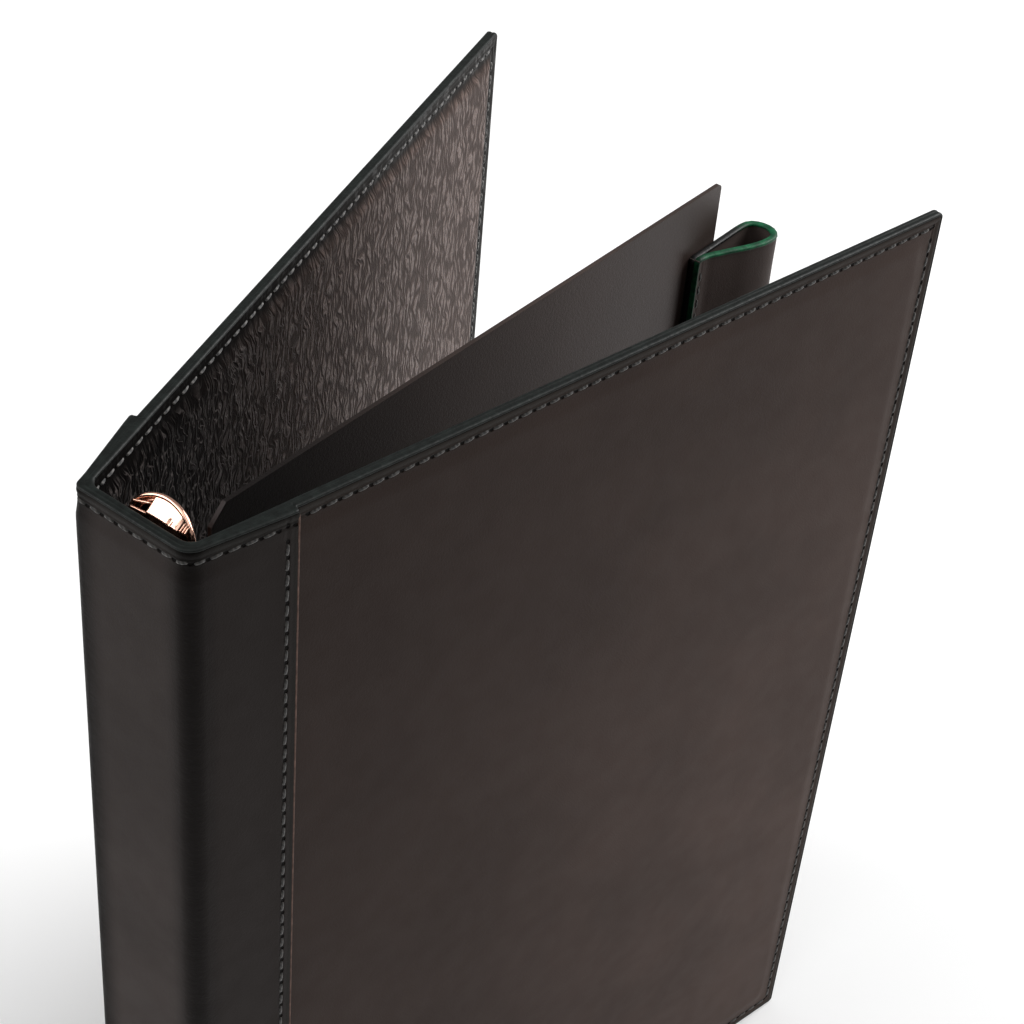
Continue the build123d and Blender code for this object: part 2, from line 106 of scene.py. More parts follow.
class Half:
    """The front or back half of the case.  A place on it is (c, z, depth): c runs 0-1 along the spine, 1-2 round
    the corner, 2-3 to join_reach and then one per millimetre of reach."""

    def __init__(self, name, side, joint, outer_round):
        self.name, self.side, self.outer_round = name, side, outer_round
        pos = joints[joint]["pos_m"]
        self.hinge = (abs(pos[0]) / MM, pos[1] / MM)
        self.lean = math.radians(-joints[joint]["range_deg"][0])
        self.turn = math.pi / 2 - self.lean
        self.outer = self.corner(spine_face, cover_face, outer_round)
        self.inner = self.corner(spine_face + lining_depth, cover_face - lining_depth, inner_round)
        self.corner_start, self.corner_end = self.outer[0], self.outer[0] + outer_round * self.turn

    def corner(self, y, rise, radius):
        """Where a face's straight spine part ends, its reach where the cover part starts, its line and radius."""
        hx, hy = self.hinge
        reach = (y - hy + rise * math.sin(self.lean)) / math.cos(self.lean)
        x = hx + reach * math.sin(self.lean) + rise * math.cos(self.lean)
        cut = radius * math.tan(self.turn / 2)
        return x - cut, reach + cut, y, rise, radius

    def reach(self, c, path):
        """Distance from the hinge line, for places on the cover."""
        c = np.asarray(c, float)
        near = path[1] + (c - 2) * (join_reach - path[1])
        return np.where(c > 3, join_reach + c - 3, near)

    def place(self, c, z, depth, inside=False):
        """Points in metres at a depth below the outer face, following the inner face's plan if inside."""
        path = self.inner if inside else self.outer
        start, _, y, rise, radius = path
        c, z, depth = np.broadcast_arrays(*(np.asarray(v, float) for v in (c, z, depth)))
        out = (lining_depth if inside else 0.0) - depth
        phi = np.clip(c - 1, 0, 1) * self.turn
        nx, ny = np.sin(phi), -np.cos(phi)
        x = np.where(c < 1, c * start, start + radius * nx)
        yy = np.where(c < 1, y, y + radius + radius * ny)
        u = self.reach(c, path)
        hx, hy = self.hinge
        sl, cl = math.sin(self.lean), math.cos(self.lean)
        x = np.where(c > 2, hx + u * sl + rise * cl, x)
        yy = np.where(c > 2, hy + u * cl - rise * sl, yy)
        return np.stack([self.side * (x + out * nx), yy + out * ny, z], -1) * MM

    def along(self, c):
        """Length of the outer face from the middle of the spine to c."""
        c = np.asarray(c, float)
        u = self.reach(c, self.outer) - self.outer[1]
        low = np.where(c < 1, c * self.outer[0], self.outer[0] + (c - 1) * self.outer_round * self.turn)
        return np.where(c > 2, self.corner_end + u, low)

    def c_along(self, s):
        """The c at a length s of the outer face."""
        s = np.asarray(s, float)
        u = self.outer[1] + s - self.corner_end
        bend = 1 + (s - self.outer[0]) / (self.outer_round * self.turn)
        c = np.where(s < self.corner_start, s / self.outer[0], bend)
        c = np.where(s > self.corner_end, 2 + (u - self.outer[1]) / (join_reach - self.outer[1]), c)
        return np.where(u > join_reach, 3 + u - join_reach, c)

    def c_reach(self, u):
        """The c at a reach beyond join_reach."""
        return 3 + np.asarray(u, float) - join_reach

    def blend(self, piece):
        """Bake a piece's placement into its mesh; the middle of the corner it works out is not used."""
        middle = (self.place(1.5, height / 2, 0) + self.place(1.5, height / 2, lining_depth, True)) / 2
        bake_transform(piece)


halves = [Half("front", 1, "front_cover_hinge", 4.0), Half("back", -1, "back_cover_hinge", 2.4)]


# ---- face profiles, as extra depth against the distance from the edge ----
def border_profile(e, pad):
    """Depth of an outer face: lip, crease, stitch channel, then the rise to the padded middle."""
    lip = -0.10 * hump(e, 1.15, 0.55) + 0.16 * hump(e, 0.55, 0.25)
    crease = 0.09 * hump(e, 1.95, 0.22) + 0.17 * hump(e, stitch_row, 0.42)
    return lip + crease + pad * (1 - smooth(e, 3.3, 6.4)) + 0.05 * hump(e, 5.4, 1.4)


def lining_profile(e):
    """Depth of the lining's face: thin stitched border, then the swell over the board."""
    crease = 0.08 * hump(e, 1.6, 0.4) + 0.16 * hump(e, stitch_row, 0.42)
    return rim_inner_depth - crease + (lining_depth - rim_inner_depth) * smooth(e, 3.4, 6.8)


def wing_depth(u):
    """Depth of the wing's face in its border: it climbs over the cover's edge towards the seam."""
    return wing_low - wing_climb * np.clip((np.asarray(u, float) - wing_start) / wing_run, 0, 1)


def undulation(s, z, size):
    """Slow unevenness of a glued hide."""
    total = np.zeros(np.broadcast(s, z).shape)
    for i in range(7):
        angle, wave, phase = 0.9 * i, 14 + 9 * i, 2.4 * i
        total += np.sin(2 * math.pi * (s * math.cos(angle) + z * math.sin(angle)) / wave + phase) / 7
    return size * total


# distances from an edge where the face profile needs a row of vertices
edge_rows = [0.3, 0.45, 0.6, 0.8, 1.0, 1.2, 1.4, 1.6, 1.78, 1.95, 2.12, 2.3, 2.5, 2.7, 2.9, 3.12, 3.35, 3.7,
             4.1, 4.6, 5.1, 5.6, 6.2, 6.9, 7.8, 9.0, 10.5]


def spread(lo, hi, step):
    """Evenly spaced values from lo to hi, at most a step apart."""
    return list(np.linspace(lo, hi, max(2, 1 + math.ceil((hi - lo) / step))))


rows_z = (edge_rows + spread(edge_rows[-1], height - edge_rows[-1], 1.8)[1:-1]
          + [height - e for e in reversed(edge_rows)])
spine_c = spread(0, 1, 0.14) + spread(1, 2, 0.075)[1:] + spread(2, 3, 0.3)[1:]
cover_u = spread(24.5, cover_reach - edge_rows[-1], 1.65)[:-1] + [cover_reach - e for e in reversed(edge_rows)]


def round_corner(u, z):
    """Carry a rectangular grid's free corners on to the cover's rounded ones."""
    across = np.maximum(fore_corner - (cover_reach - u), 0)
    side = np.where(z > height / 2, 1, -1)
    up = np.maximum(fore_corner - np.minimum(z, height - z), 0)
    both = (across > 0) & (up > 0)
    length = np.where(both, np.hypot(across, up), 1)
    share = np.where(both, np.maximum(across, up) / length, 1)
    return u + across * (share - 1), z + side * up * (share - 1)


# ---- meshes ----
def unit(vectors):
    """Vectors scaled to length 1; those of no length stay 0."""
    size = np.linalg.norm(vectors, axis=1, keepdims=True)
    return np.divide(vectors, size, out=np.zeros_like(vectors), where=size > 1e-12)


sharp_edge = math.radians(50)


def new_mesh(name, verts, faces, material, flat=None, fold_and_shade=None):
    """Object from arrays of points in metres and faces, smooth except at its sharp edges."""
    mesh = bpy.data.meshes.new(name)
    mesh.from_pydata([tuple(v) for v in verts], [], faces)
    mesh.polygons.foreach_set("use_smooth", [True] * len(mesh.polygons))
    mesh.set_sharp_from_angle(angle=sharp_edge)
    if flat is not None:
        at = mesh.attributes.new("flat", "FLOAT_VECTOR", "POINT")
        at.data.foreach_set("vector", np.asarray(flat, np.float32).ravel())
    if fold_and_shade is not None:
        at = mesh.attributes.new("fold_and_shade", "FLOAT", "POINT")
        at.data.foreach_set("value", np.asarray(fold_and_shade, np.float32).ravel())
    mesh.materials.append(material)
    mesh.update()
    piece = bpy.data.objects.new(name, mesh)
    bpy.context.scene.collection.objects.link(piece)
    return piece


def sheet_faces(index):
    """Faces of a grid's upper side and of an underside whose vertices follow the grid's."""
    a, b = index[:-1, :-1].ravel(), index[1:, :-1].ravel()
    c, d = index[1:, 1:].ravel(), index[:-1, 1:].ravel()
    return [np.stack([a, b, c, d], 1), np.stack([d, c, b, a], 1) + index.size]


def slab(name, outer, inner, material, flat, fold_and_shade=None, bulge=0.0, rim_steps=3, flip=False):
    """Closed sheet between two grids of points, with rounded rims except along the first column."""
    ni, nj = outer.shape[:2]
    index = np.arange(ni * nj).reshape(ni, nj)
    loop = ([(i, 0) for i in range(ni)] + [(ni - 1, j) for j in range(1, nj)]
            + [(i, nj - 1) for i in range(ni - 2, -1, -1)] + [(0, j) for j in range(nj - 2, 0, -1)])
    verts = [outer.reshape(-1, 3), inner.reshape(-1, 3)]
    flats = [flat.reshape(-1, 3)] * 2
    fold_and_shade = np.zeros((ni, nj)) if fold_and_shade is None else fold_and_shade
    fold_and_shade_parts = [fold_and_shade.ravel()] * 2
    li, lj = np.array([a for a, _ in loop]), np.array([b for _, b in loop])
    out = np.zeros((len(loop), 3))
    for axis, low, last in ((0, li, ni - 1), (1, lj, nj - 1)):
        step = np.where(low == last, 1, np.where(low == 0, -1, 0))
        if axis == 0:
            away = outer[li, lj] - outer[np.clip(li - step, 0, ni - 1), lj]
            away[li == 0] = 0
        else:
            away = outer[li, lj] - outer[li, np.clip(lj - step, 0, nj - 1)]
        out += unit(away)
    out = unit(out)
    top, bottom = outer[li, lj], inner[li, lj]
    for k in range(1, rim_steps + 1):
        t = k / (rim_steps + 1)
        verts.append(top * (1 - t) + bottom * t + out * bulge * MM * math.sin(math.pi * t))
        flats.append(flat[li, lj])
        fold_and_shade_parts.append(fold_and_shade[li, lj])
    n = ni * nj
    rings = [index[li, lj]]
    for k in range(rim_steps):
        rings.append(2 * n + k * len(loop) + np.arange(len(loop)))
    rings.append(index[li, lj] + n)
    strips = []
    for low, high in zip(rings, rings[1:]):
        strips.append(np.stack([low, high, np.roll(high, -1), np.roll(low, -1)], 1))
    faces = np.concatenate(sheet_faces(index) + strips)
    if flip:
        faces = faces[:, ::-1]
    return new_mesh(name, np.concatenate(verts), faces.tolist(), material,
                    np.concatenate(flats), np.concatenate(fold_and_shade_parts))


def tube(sections, closed_ends=True):
    """Vertices and faces of a closed section carried along a path: sections is (steps, points, 3)."""
    steps, n = sections.shape[:2]
    index = np.arange(steps * n).reshape(steps, n)
    low, high = index[:-1], index[1:]
    faces = np.stack([low, np.roll(low, -1, 1), np.roll(high, -1, 1), high], -1).reshape(-1, 4).tolist()
    if closed_ends:
        faces += [index[0][::-1].tolist(), index[-1].tolist()]
    return sections.reshape(-1, 3), faces


def gather(parts):
    """One vertex array and face list from several."""
    verts, faces, start = [], [], 0
    for v, f in parts:
        verts.append(v)
        faces += [[i + start for i in face] for face in f]
        start += len(v)
    return np.concatenate(verts), faces


def round_tube(points, facing, size, around, squash=1.0):
    """Closed tube along points; facing gives a direction across it."""
    tangent = unit(np.gradient(points, axis=0))
    side = unit(np.cross(tangent, facing))
    up = np.cross(side, tangent)
    angle = np.linspace(0, 2 * math.pi, around, endpoint=False)[:, None]
    ring = side[:, None] * np.cos(angle) * squash + up[:, None] * np.sin(angle)
    return tube(points[:, None] + ring * size[:, None, None])


def stitch(points, normals, radius):
    """One sewn stitch: a slightly flat tube of thread along a few points, thinning at both ends."""
    t = np.linspace(-1, 1, len(points))
    return round_tube(points, normals, radius * MM * np.sqrt(np.clip(1.02 - t ** 6, 0.1, 1)), 7, 1.15)


thread_radius, lining_thread_radius, loop_thread_radius = 0.30, 0.27, 0.26
stitch_sink, stitch_arch, stitch_slant = 0.05, 0.16, 0.13
stitch_share = np.linspace(-1, 1, 7)   # places along one stitch


def stitch_row_parts(place, face_normal, start, end, radius=thread_radius):
    """Stitches between two lengths.  place(position, across, lift) gives points in metres."""
    parts = []
    count = int(math.floor((end - start) / pitch))
    for i in range(count):
        middle = start + (i + 0.5) * pitch + rng.uniform(-0.08, 0.08)
        half = 0.5 * pitch * rng.uniform(0.76, 0.84)
        tilt = stitch_slant + rng.uniform(-0.05, 0.05)
        position = middle + half * stitch_share
        lift = stitch_arch * (1 - stitch_share ** 2) - stitch_sink - 0.22 * stitch_share ** 6
        points = place(position, tilt * stitch_share, lift * rng.uniform(0.85, 1.15))
        normals = face_normal(position)
        parts.append(stitch(points, normals, radius * rng.uniform(0.93, 1.05)))
    return parts


# ---- materials ----
class Shader:
    """A material's node tree, with short calls for the nodes used here."""

    def __init__(self, name, **sockets):
        self.material = bpy.data.materials.new(name)
        self.material.use_nodes = True
        self.tree = self.material.node_tree
        self.bsdf = self.tree.nodes["Principled BSDF"]
        for key, value in sockets.items():
            self.bsdf.inputs[key.replace("_", " ")].default_value = value

    def node(self, kind, inputs=(), **settings):
        made = self.tree.nodes.new(kind)
        for key, value in settings.items():
            setattr(made, key, value)
        for key, value in dict(inputs).items():
            self.feed(made.inputs[key], value)
        return made

    def feed(self, socket, value):
        if isinstance(value, bpy.types.NodeSocket):
            self.tree.links.new(value, socket)
        else:
            socket.default_value = value

    def attribute(self, name, vector=True):
        made = self.node("ShaderNodeAttribute", attribute_name=name)
        return made.outputs["Vector" if vector else "Fac"]

    def object_mm(self):
        where = self.node("ShaderNodeTexCoord").outputs["Object"]
        scaled = self.node("ShaderNodeVectorMath", {0: where, "Scale": 1 / MM}, operation="SCALE")
        return scaled.outputs[0]

    def stretch(self, vector, scale):
        return self.node("ShaderNodeVectorMath", {0: vector, 1: scale}, operation="MULTIPLY").outputs[0]

    def parts(self, vector):
        return self.node("ShaderNodeSeparateXYZ", {0: vector}).outputs

    def math(self, operation, a, b=0.0):
        return self.node("ShaderNodeMath", {0: a, 1: b}, operation=operation).outputs[0]

    def times(self, a, b):
        return self.math("MULTIPLY", a, b)

    def ramp(self, value, low, high, to_low=0.0, to_high=1.0):
        made = self.node("ShaderNodeMapRange", {0: value, 1: low, 2: high, 3: to_low, 4: to_high},
                         interpolation_type="SMOOTHSTEP")
        return made.outputs[0]

    def mix(self, share, a, b):
        made = self.node("ShaderNodeMix", data_type="RGBA")
        self.feed(made.inputs["Factor"], share)
        self.feed(made.inputs[6], a)
        self.feed(made.inputs[7], b)
        return made.outputs[2]

    def noise(self, vector, scale, detail=3.0, roughness=0.5, distortion=0.0):
        made = self.node("ShaderNodeTexNoise", {"Vector": vector, "Scale": scale, "Detail": detail,
                                                "Roughness": roughness, "Distortion": distortion})
        return made.outputs["Fac"]

    def cells(self, vector, scale, feature="F1"):
        made = self.node("ShaderNodeTexVoronoi", {"Vector": vector, "Scale": scale}, feature=feature)
        return made.outputs["Distance"]

    def bump(self, height_value, distance, strength=1.0, normal=None):
        made = self.node("ShaderNodeBump", {"Height": height_value, "Distance": distance * MM,
                                            "Strength": strength})
        if normal is not None:
            self.feed(made.inputs["Normal"], normal)
        return made.outputs[0]

    def finish(self, colour, roughness, normal):
        self.feed(self.bsdf.inputs["Base Color"], colour)
        self.feed(self.bsdf.inputs["Roughness"], roughness)
        self.feed(self.bsdf.inputs["Normal"], normal)
        return self.material


def grey(value, warm=0.0, green=0.0):
    """A linear colour near grey."""
    return (value * (1 + warm), value * (1 + green), value * (1 - warm), 1)


def brown(value, warm):
    """A linear leather brown: warm 0 is neutral black, 1 a chocolate cast."""
    return (value * (1 + 0.5 * warm), value, value * (1 - 0.16 * warm), 1)


hole_half_length, hole_half_width = 0.55, 0.42


def hole_mask(sh, along, across):
    """1 at the needle holes of a stitch row, from the length along it and the distance from it."""
    turn = sh.math("DIVIDE", along, pitch)
    away = sh.math("PINGPONG", turn, 0.5)
    length = sh.times(away, pitch / hole_half_length)
    width = sh.math("DIVIDE", across, hole_half_width)
    squares = sh.math("ADD", sh.times(length, length), sh.times(width, width))
    return sh.ramp(sh.math("SQRT", squares), 0.6, 1.25, 1.0, 0.0)


def edge_holes(sh, s, z):
    """1 at the needle holes of the rows along the top and bottom edges."""
    row = sh.math("SUBTRACT", sh.math("MINIMUM", z, sh.math("SUBTRACT", height, z)), stitch_row)
    return hole_mask(sh, s, row)


def hide_material(name, tone, warm, column):
    """Smooth calf: fine grain, faint pores, darker worn border, needle holes in the rows and one upright column,
    with painted shade towards the top edge, past the spine's corner, round that corner, in the groove under the
    painted edge and in the needle holes.
    """
    sh = Shader(name, Specular_IOR_Level=0.06, Specular_Tint=(1.0, 0.86, 0.80, 1))
    flat = sh.attribute("flat")
    s, z, e = sh.parts(flat)
    level = sh.stretch(flat, (1, 1, 0))
    fold_and_shade = sh.attribute("fold_and_shade", False)
    grain = sh.cells(level, 2.4)
    fine = sh.noise(level, 4.5, 4.0, 0.6)
    cloud = sh.noise(level, 0.03, 3.0, 0.55)
    smudge = sh.noise(level, 0.16, 4.0, 0.6)
    holes = edge_holes(sh, s, z)
    upright = hole_mask(sh, z, sh.math("SUBTRACT", s, column))
    holes = sh.math("MAXIMUM", holes, upright)
    wrinkle = sh.noise(sh.stretch(level, (0.7, 1.0, 0)), 0.8, 4.0, 0.55)
    wrinkle = sh.times(wrinkle, fold_and_shade)
    colour = sh.mix(sh.ramp(cloud, 0.3, 0.7), brown(tone * 0.86, warm), brown(tone * 1.16, warm))
    colour = sh.mix(sh.times(sh.ramp(fine, 0.35, 0.75), 0.35), colour, brown(tone * 1.6, warm))
    # painted shade: the hide darkens towards the top edge, up to 45% of the way to a much darker brown
    high = sh.ramp(z, height * 0.4, height, 0.0, 0.45)
    colour = sh.mix(high, colour, brown(tone * 0.25, warm))
    # painted shade: darker past the spine's corner, over the strip and the cover, fading out towards the fore-edge
    painted_side_shade = sh.ramp(sh.math("ABSOLUTE", s), 12.0, 17.0, 0.0, 0.72)
    painted_side_shade = sh.times(painted_side_shade, sh.ramp(sh.math("ABSOLUTE", s), 30.0, 205.0, 1.0, 0.0))
    colour = sh.mix(painted_side_shade, colour, brown(tone * 0.25, warm))
    colour = sh.mix(sh.ramp(e, 0.8, 4.5, 0.55, 0.0), colour, grey(tone * 0.4, 0.0, 0.1))
    # painted shade: near black in the groove just under the painted edge
    colour = sh.mix(sh.ramp(e, 0.55, 0.8, 0.9, 0.0), colour, grey(0.0012))
    # painted shade: near black over the spine's rounded corner, set by the same attribute that gives the wrinkle
    # bumps
    colour = sh.mix(sh.times(fold_and_shade, 0.9), colour, grey(0.0012))
    # painted shade in the needle holes
    colour = sh.mix(sh.times(holes, 0.97), colour, grey(0.001))
    rough = sh.math("ADD", sh.ramp(smudge, 0.3, 0.7, 0.42, 0.5), sh.times(fine, 0.08))
    normal = sh.bump(grain, 0.04, 0.5)
    normal = sh.bump(fine, 0.05, 0.5, normal)
    normal = sh.bump(wrinkle, 0.2, 0.5, normal)
    normal = sh.bump(sh.math("SUBTRACT", 1.0, holes), 0.4, 1.0, normal)
    return sh.finish(colour, rough, normal)


def lining_material(name):
    """Coarse goat-grained lining: upright wrinkles broken into short ridges, smoother in the sewn border; its
    colour holds painted shade near the spine and in the grooves, painted light towards the fore-edge and painted
    highlights on the crests.
    """
    sh = Shader(name, Specular_IOR_Level=0.06, Specular_Tint=(1.0, 0.84, 0.82, 1))
    flat = sh.attribute("flat")
    s, z, e = sh.parts(flat)
    level = sh.stretch(flat, (1, 1, 0))
    middle = sh.ramp(e, 3.4, 6.0)
    wander = sh.noise(sh.stretch(level, (0.20, 0.13, 0)), 1.0, 2.0)
    sway = sh.node("ShaderNodeCombineXYZ", {0: sh.times(wander, 6.0)}).outputs[0]
    bent = sh.node("ShaderNodeVectorMath", {0: level, 1: sway}, operation="ADD").outputs[0]
    cells = sh.cells(sh.stretch(bent, (1.0, 0.22, 0)), 0.68, "DISTANCE_TO_EDGE")
    small = sh.noise(sh.stretch(bent, (1.0, 0.45, 0)), 1.9, 3.0, 0.6, 0.3)
    broad = sh.noise(sh.stretch(bent, (1.0, 0.3, 0)), 0.35, 2.0)
    groove = sh.ramp(cells, 0.02, 0.24)
    little = sh.ramp(small, 0.36, 0.62)
    relief = sh.math("ADD", sh.times(groove, 0.8), sh.times(little, 0.25))
    relief = sh.math("ADD", relief, sh.times(broad, 0.9))
    # 0 near the spine to 1 towards the fore-edge: it sets painted shade near the spine and painted light further
    # out in the colours below, and also the relief and the roughness
    spine_shade_falloff = sh.ramp(sh.math("ABSOLUTE", s), 35.0, 185.0)
    relief = sh.times(relief, sh.times(middle, sh.ramp(spine_shade_falloff, 0.3, 1.0, 1.0, 0.4)))
    vein = sh.noise(sh.stretch(bent, (1.0, 0.28, 0)), 0.62, 2.0, 0.5)
    crest = sh.ramp(sh.math("ABSOLUTE", sh.math("SUBTRACT", vein, 0.5)), 0.0, 0.03, 1.0, 0.0)
    crest = sh.times(crest, sh.times(middle, sh.ramp(spine_shade_falloff, 0.0, 0.8, 0.75, 0.0)))
    relief = sh.math("ADD", relief, sh.times(crest, 0.7))
    fine = sh.noise(level, 4.5, 4.0, 0.6)
    holes = edge_holes(sh, s, z)
    ridge = sh.times(groove, sh.math("ADD", 0.35, sh.times(little, 0.65)))
    # painted light: the ridge colour runs from near black at the spine to a lit, light brown towards the fore-edge
    tone = sh.mix(spine_shade_falloff, brown(0.008, 0.4), brown(0.135, 0.8))
    # painted shade in the grain's grooves
    groove_shade_colour = sh.mix(spine_shade_falloff, grey(0.0003), brown(0.045, 0.8))
    colour = sh.mix(ridge, groove_shade_colour, tone)
    # painted highlight: pale lines along the crests near the spine
    colour = sh.mix(crest, colour, brown(0.075, 0.3))
    # the sewn border is a dark grey, with the same painted shade towards the spine
    colour = sh.mix(middle, sh.mix(spine_shade_falloff, grey(0.002, 0.1), grey(0.01, 0.1)), colour)
    # painted shade in the needle holes
    colour = sh.mix(sh.times(holes, 0.9), colour, grey(0.001))
    dull = sh.ramp(spine_shade_falloff, 0.0, 1.0, 0.42, 0.0)
    rough = sh.math("ADD", sh.ramp(ridge, 0.0, 1.0, 0.55, 0.26), dull)
    normal = sh.bump(relief, 0.38, 1.0)
    normal = sh.bump(fine, 0.025, 0.5, normal)
    return sh.finish(colour, rough, normal)


def rim_material(name, dark, light, rough, gloss):
    """Painted and burnished edge: even colour, a little gloss, brush unevenness along it; painted shade darkens it
    to near black on the pen loop's back leaf and sewn edge.
    """
    sh = Shader(name, Specular_IOR_Level=gloss)
    where = sh.object_mm()
    cloud = sh.noise(where, 0.5, 4.0, 0.6)
    fine = sh.noise(where, 3.5, 3.0, 0.6)
    colour = sh.mix(sh.ramp(cloud, 0.35, 0.7), dark, light)
    # painted shade: near black on the pen loop's back leaf and sewn edge
    colour = sh.mix(sh.attribute("fold_and_shade", False), colour, grey(0.0012))
    normal = sh.bump(sh.noise(where, 0.9, 3.0), 0.12, 0.6)
    normal = sh.bump(fine, 0.05, 0.6, normal)
    return sh.finish(colour, sh.ramp(fine, 0.3, 0.7, rough - 0.05, rough + 0.12), normal)


def thread_material(name, dark, light):
    """Waxed linen thread with its twist."""
    sh = Shader(name, Specular_IOR_Level=0.4, Sheen_Weight=0.2)
    where = sh.object_mm()
    twist = sh.node("ShaderNodeTexWave", {"Vector": where, "Scale": 0.55, "Distortion": 2.0, "Detail": 1.0},
                    bands_direction="DIAGONAL").outputs["Fac"]
    fuzz = sh.noise(where, 7.0, 3.0)
    colour = sh.mix(twist, dark, light)
    normal = sh.bump(sh.math("ADD", twist, sh.times(fuzz, 0.4)), 0.08, 0.9)
    return sh.finish(colour, sh.ramp(fuzz, 0.3, 0.7, 0.5, 0.7), normal)


def board_material(name):
    """Grey pressed board."""
    sh = Shader(name, Specular_IOR_Level=0.3)
    where = sh.object_mm()
    fibre = sh.noise(sh.stretch(where, (1, 1, 0.3)), 1.8, 5.0, 0.65)
    colour = sh.mix(fibre, (0.16, 0.14, 0.12, 1), (0.34, 0.31, 0.27, 1))
    return sh.finish(colour, sh.ramp(fibre, 0.2, 0.8, 0.75, 0.9), sh.bump(fibre, 0.1, 0.6))


def sheet_material(name):
    """Matt dark brown bonded leather of the divider, with a soft tooth, and painted shade that darkens it towards
    the spine.
    """
    sh = Shader(name, Specular_IOR_Level=0.22, Specular_Tint=(1.0, 0.84, 0.82, 1))
    where = sh.object_mm()
    fine = sh.noise(where, 4.0, 4.0, 0.65)
    cloud = sh.noise(where, 0.03, 3.0)
    pores = sh.cells(where, 1.9)
    colour = sh.mix(sh.ramp(cloud, 0.3, 0.7), brown(0.022, 0.85), brown(0.030, 0.85))
    colour = sh.mix(sh.times(sh.ramp(fine, 0.4, 0.8), 0.4), colour, brown(0.036, 0.8))
    # painted shade: the divider goes near black towards the spine
    divider_spine_shade = sh.ramp(sh.parts(where)[1], 20.0, 110.0)
    colour = sh.mix(divider_spine_shade, brown(0.002, 0.8), colour)
    normal = sh.bump(pores, 0.04, 0.45)
    normal = sh.bump(fine, 0.05, 0.55, normal)
    return sh.finish(colour, sh.ramp(fine, 0.2, 0.8, 0.36, 0.44), normal)


def metal_material(name, base, low, high):
    """Plated steel: clear reflections, drawing lines along Z and a few handling marks."""
    sh = Shader(name, Metallic=1.0)
    where = sh.object_mm()
    lines = sh.noise(sh.stretch(where, (9, 9, 0.35)), 1.0, 3.0, 0.6)
    marks = sh.noise(where, 0.8, 5.0, 0.7)
    colour = sh.mix(sh.ramp(marks, 0.3, 0.75), base, tuple(0.9 * v for v in base[:3]) + (1,))
    normal = sh.bump(lines, 0.02, 0.35)
    return sh.finish(colour, sh.ramp(marks, 0.35, 0.75, low, high), normal)


def seam_of(half):
    """Length of the outer face from the middle of the spine to the wing's edge."""
    return float(half.along(half.c_reach(seam_reach)))


mats = {
    "board": board_material("pressed_board"),
    "lining": lining_material("grained_lining"),
    "rim": rim_material("painted_edge", grey(0.003, -0.1, 0.3), grey(0.009, -0.1, 0.25), 0.40, 0.18),
    "green": rim_material("green_edge", (0.0015, 0.048, 0.020, 1), (0.006, 0.135, 0.052, 1), 0.42, 0.25),
    # painted highlight: a paler brown for the wing's rounded lip
    "painted_lip_highlight": rim_material("painted_lip_highlight", brown(0.05, 1.2), brown(0.09, 1.2), 0.6, 0.1),
    "thread": thread_material("dark_thread", grey(0.006, 0.1), grey(0.026, 0.15)),
    # painted highlight: the lining's stitches are the same dark thread, drawn paler
    "highlit_lining_thread": thread_material("highlit_lining_thread", grey(0.05), grey(0.18, 0.05)),
    "sheet": sheet_material("divider_sheet_leather"),
    "metal": metal_material("rose_plate", (0.80, 0.47, 0.35, 1), 0.10, 0.24),
    "rivet": metal_material("rivet_plate", (0.9, 0.6, 0.46, 1), 0.12, 0.28),
}


# ---- leather pieces of one half ----
def edge_distance(z):
    """Distance from the nearer of the top and bottom edges."""
    return np.minimum(z, height - z)


def spine_hide(half):
    """Half of the spine's hide: middle of the spine, round the corner, and the wing lapped over the cover."""
    near_seam = [7.5, 9, 10.5, 12, 13.5, 15, 16, 16.8, 17.4, 17.8, 18.2, 18.6, 19.0, 19.4, 19.7, 19.95, 20.2]
    cs = np.concatenate([spine_c, half.c_reach(near_seam + [seam_reach - 0.05])])
    c, z = np.meshgrid(cs, np.array(rows_z), indexing="ij")
    u = np.where(c > 2, half.reach(c, half.outer), 0)
    s = half.along(c)
    e = edge_distance(z)
    from_seam = seam_of(half) - s
    pad = border_depth * (1 - smooth(u, 4, 17))
    depth = np.where(c > 2, wing_depth(u), wing_depth(0)) + border_profile(e, pad) - pad
    depth = depth + 0.16 * hump(from_seam, seam_stitch_row, 0.45) + 0.10 * hump(from_seam, 1.0, 0.3)
    # this hump over the spine's corner gives the hide its wrinkle bumps and its painted shade there
    corner = hump(s, (half.corner_start + half.corner_end) / 2, 6.0)
    depth = depth + undulation(s, z, 0.03) * smooth(e, 3, 12)
    outer = half.place(c, z, depth)
    inner = half.place(c, z, depth + leather)
    flat = np.stack([half.side * s, z, np.minimum(e, from_seam + 1.5)], -1)
    piece = slab(f"{half.name}_spine_hide", outer, inner, half.hide, flat, corner, 0.28,
                 flip=half.side < 0)
    half.blend(piece)
    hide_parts("spine_leather", f"{half.name}_strip_leather")


